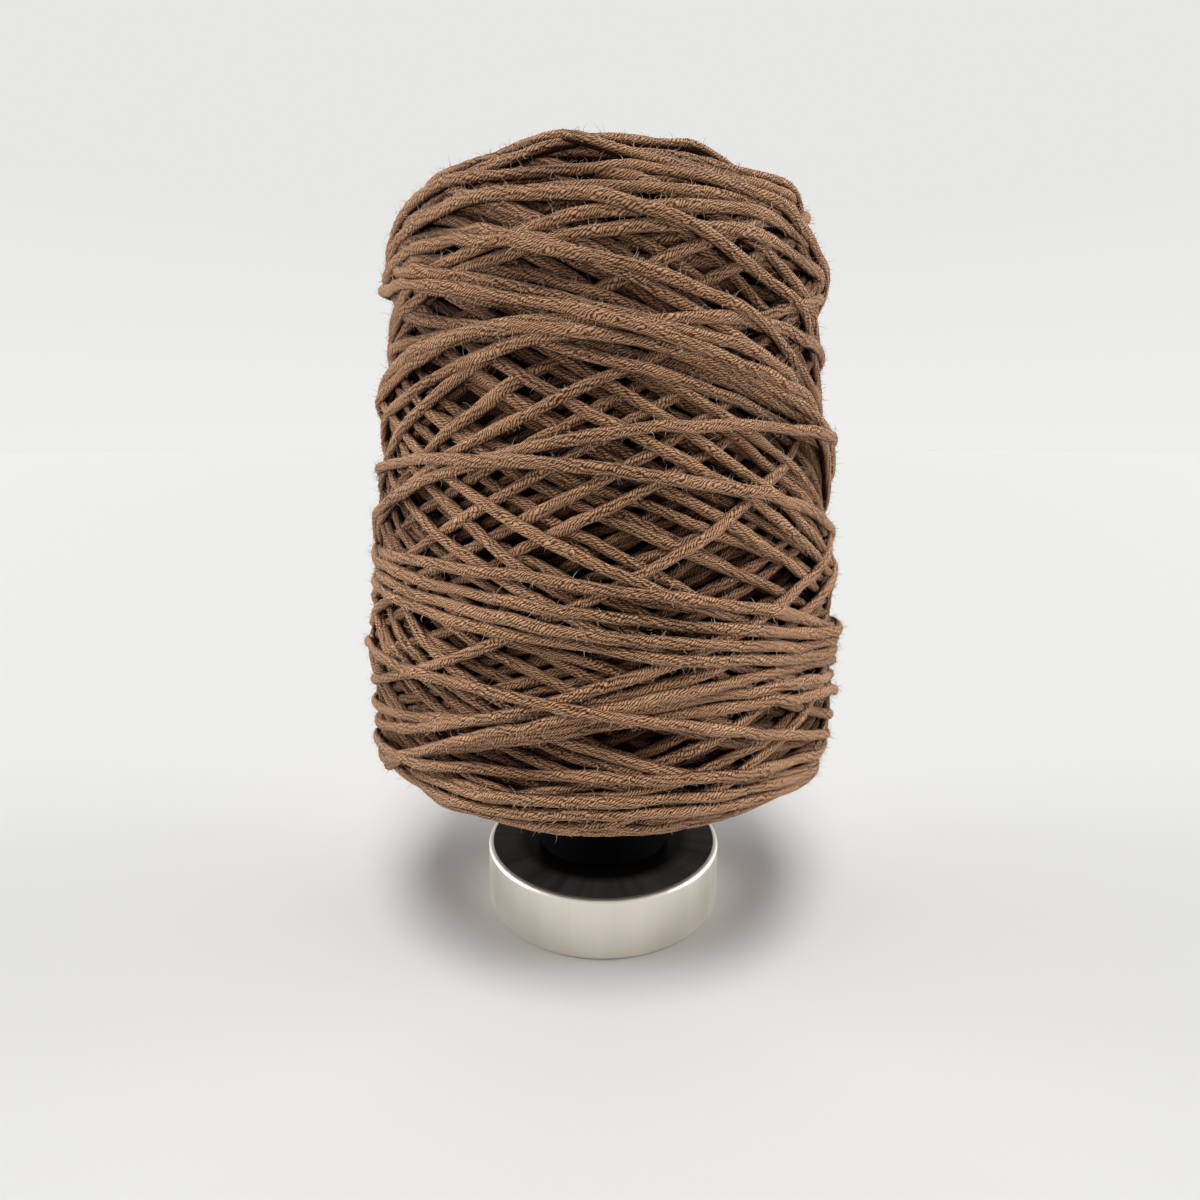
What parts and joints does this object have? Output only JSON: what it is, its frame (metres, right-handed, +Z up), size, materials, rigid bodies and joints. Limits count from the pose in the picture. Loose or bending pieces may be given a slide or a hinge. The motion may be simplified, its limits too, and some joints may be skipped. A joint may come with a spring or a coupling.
{
  "type": "cone of yarn on a round metal foot",
  "caption": "Cone-wound package of thick soft brown yarn with crossing turns, its core end standing on a round polished metal foot.",
  "frame": {"origin": "middle of the foot's underside, on the surface that the cone stands on", "axes": "+Z up along the axis of the cone, -Y towards the viewer, +X to the viewer's right"},
  "size_m": [0.1127, 0.1129, 0.1724],
  "materials": {
    "yarn": "matt, softly hairy, several plies twisted together",
    "core_end": "matt black",
    "foot": "polished side and rim, finely turned top face"
  },
  "bodies": {
    "root": {"yarn": "yarn", "core_end": "core_end", "foot": "foot"}
  },
  "joints": []
}
